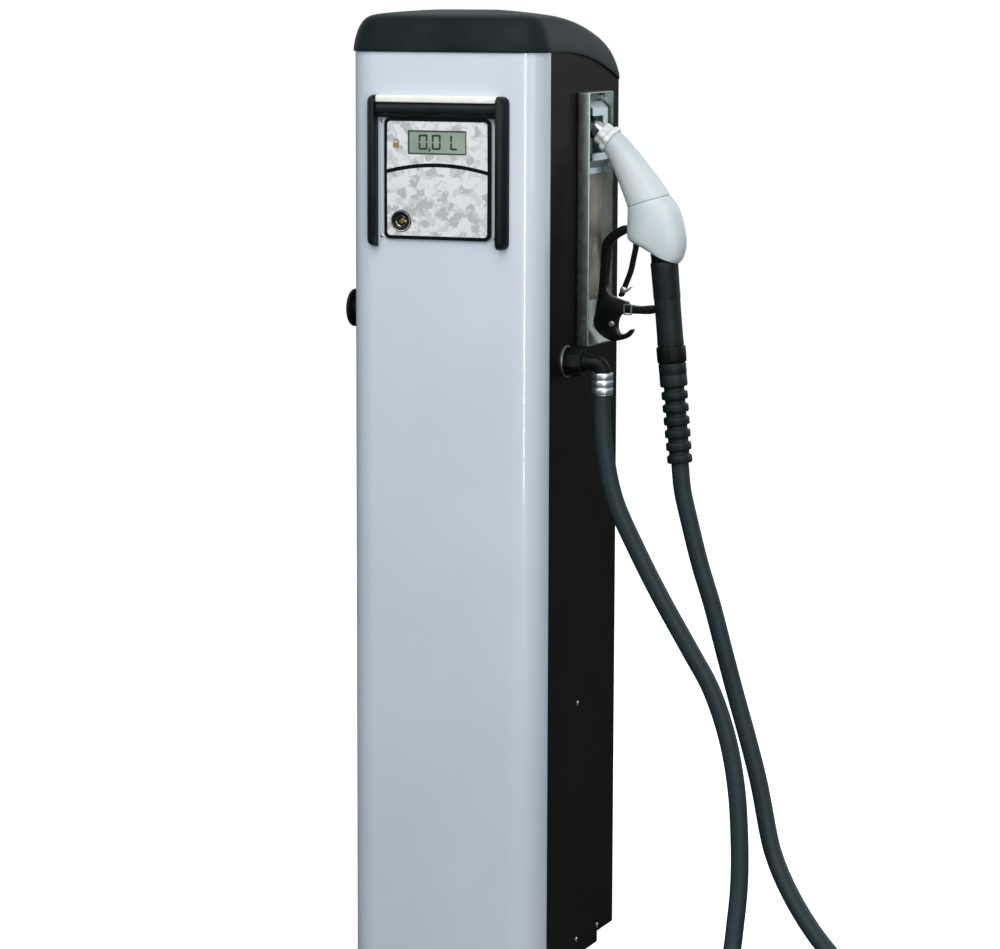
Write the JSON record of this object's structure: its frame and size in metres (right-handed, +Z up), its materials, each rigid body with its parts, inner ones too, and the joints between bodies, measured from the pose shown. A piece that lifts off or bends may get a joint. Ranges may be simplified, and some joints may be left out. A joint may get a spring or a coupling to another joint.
{
  "type": "gas pump",
  "caption": "Self-service fuel dispenser column with a pump, flow meter, display, side holster, delivery hose and automatic nozzle.",
  "frame": {"origin": "middle of the column's footprint, on the floor", "axes": "+Z up, the front with the display faces -Y, the holster side faces +X"},
  "size_m": [0.9248, 0.5588, 1.4079],
  "materials": {
    "white_powder_coat": "smooth semi-gloss powder coat",
    "black_powder_coat": "fine satin powder coat",
    "black_moulded_abs": "moulded, lightly grained",
    "zinc_plated_steel": "zinc plated",
    "galvanised_steel": "galvanised sheet",
    "bright_steel": "polished or bright plated",
    "cast_aluminium": "as cast",
    "crimped_aluminium": "crimped",
    "painted_cast_iron": "painted casting",
    "grey_motor_paint": "painted",
    "copper_winding": "varnished winding",
    "black_rubber": "smooth moulded rubber",
    "white_polypropylene": "moulded, slightly translucent",
    "translucent_polyethylene": "moulded, milky",
    "opal_lamp_strip": "opal diffuser",
    "printed_film": "printed film on plate",
    "lcd_glass": "reflective display glass",
    "circuit_board": "solder mask",
    "grey_enclosure": "moulded enclosure",
    "brass": "turned"
  },
  "bodies": {
    "root": {"front_panel": "white_powder_coat", "side_panel_right": "black_powder_coat", "side_panel_left": "black_powder_coat", "rear_panel": "black_powder_coat", "lid": "black_moulded_abs", "display_frame": "black_moulded_abs", "hose_hook": "black_moulded_abs", "outlet_nut": "black_moulded_abs", "outlet_elbow": "black_moulded_abs", "key_reader_contact": "black_moulded_abs", "display_housing": "black_moulded_abs", "spout_socket": "black_moulded_abs", "fan_cover": "black_moulded_abs", "base_pan": "zinc_plated_steel", "front_post_left": "zinc_plated_steel", "front_post_right": "zinc_plated_steel", "rear_post_left": "zinc_plated_steel", "rear_post_right": "zinc_plated_steel", "top_frame": "zinc_plated_steel", "pump_shelf": "zinc_plated_steel", "suction_pipe": "zinc_plated_steel", "delivery_pipe": "zinc_plated_steel", "outlet_pipe": "zinc_plated_steel", "holster_tray": "galvanised_steel", "spout_bracket": "bright_steel", "holster_bolt": "bright_steel", "key_reader_bezel": "bright_steel", "meter_body": "cast_aluminium", "hose_ferrule": "crimped_aluminium", "pump_body": "painted_cast_iron", "pump_cover": "painted_cast_iron", "motor_housing": "grey_motor_paint", "motor_stator": "copper_winding", "hose_drop": "black_rubber", "hose_coil": "black_rubber", "hose_rise": "black_rubber", "lamp_strip": "opal_lamp_strip", "display_plate": "printed_film", "lcd_module": "lcd_glass", "control_board": "circuit_board", "power_box": "grey_enclosure"},
    "pump_drive": {"drive_shaft": "bright_steel", "motor_rotor": "zinc_plated_steel", "pump_impeller": "brass", "motor_fan": "black_moulded_abs"},
    "meter_turbine": {"meter_rotor": "brass"},
    "nozzle": {"nozzle_body": "cast_aluminium", "nozzle_grip": "black_rubber", "nozzle_cover_front": "white_polypropylene", "nozzle_cover_rear": "white_polypropylene", "spout": "bright_steel", "splash_collar": "translucent_polyethylene", "trigger_guard": "black_moulded_abs", "trigger_pin": "bright_steel", "swivel_ring": "black_moulded_abs"},
    "hose_end": {"bend_protector": "black_rubber"},
    "trigger": {"trigger": "black_moulded_abs"},
    "latch": {"hold_open_latch": "bright_steel"},
    "valve": {"nozzle_valve": "brass"}
  },
  "joints": [
    {"name": "motor_spin", "type": "hinge", "parent": "root", "child": "pump_drive", "pos_m": [0, 0, 0.19], "axis": [0, 1, 0], "continuous": true},
    {"name": "turbine_spin", "type": "hinge", "parent": "root", "child": "meter_turbine", "pos_m": [0.035, -0.051, 0.801], "axis": [0, 0, 1], "continuous": true},
    {"name": "nozzle_lift", "type": "slide", "parent": "root", "child": "nozzle", "axis": [1, 0, 0], "range_m": [0, 0.14], "deforming": ["hose_rise"]},
    {"name": "hose_swivel", "type": "hinge", "parent": "nozzle", "child": "hose_end", "pos_m": [0.268, 0.037, 1.0506], "axis": [0.0933, 0, -0.9956], "continuous": true},
    {"name": "trigger_squeeze", "type": "hinge", "parent": "nozzle", "child": "trigger", "pos_m": [0.2275, 0.037, 1.08], "axis": [0, -1, 0], "range_deg": [0, 22], "stiffness_Nm_per_rad": 0.6, "springref_deg": -8.59},
    {"name": "latch_turn", "type": "hinge", "parent": "trigger", "child": "latch", "pos_m": [0.2065, 0.037, 1.0035], "axis": [0, -1, 0], "range_deg": [0, 25], "stiffness_Nm_per_rad": 0.02, "springref_deg": -17.19},
    {"name": "valve_lift", "type": "slide", "parent": "nozzle", "child": "valve", "axis": [0.5641, 0, -0.8257], "range_m": [0, 0.0065]}
  ],
  "couplings": [
    {"joint": "valve_lift", "follows": "trigger_squeeze", "m_per_rad": 0.0156}
  ]
}
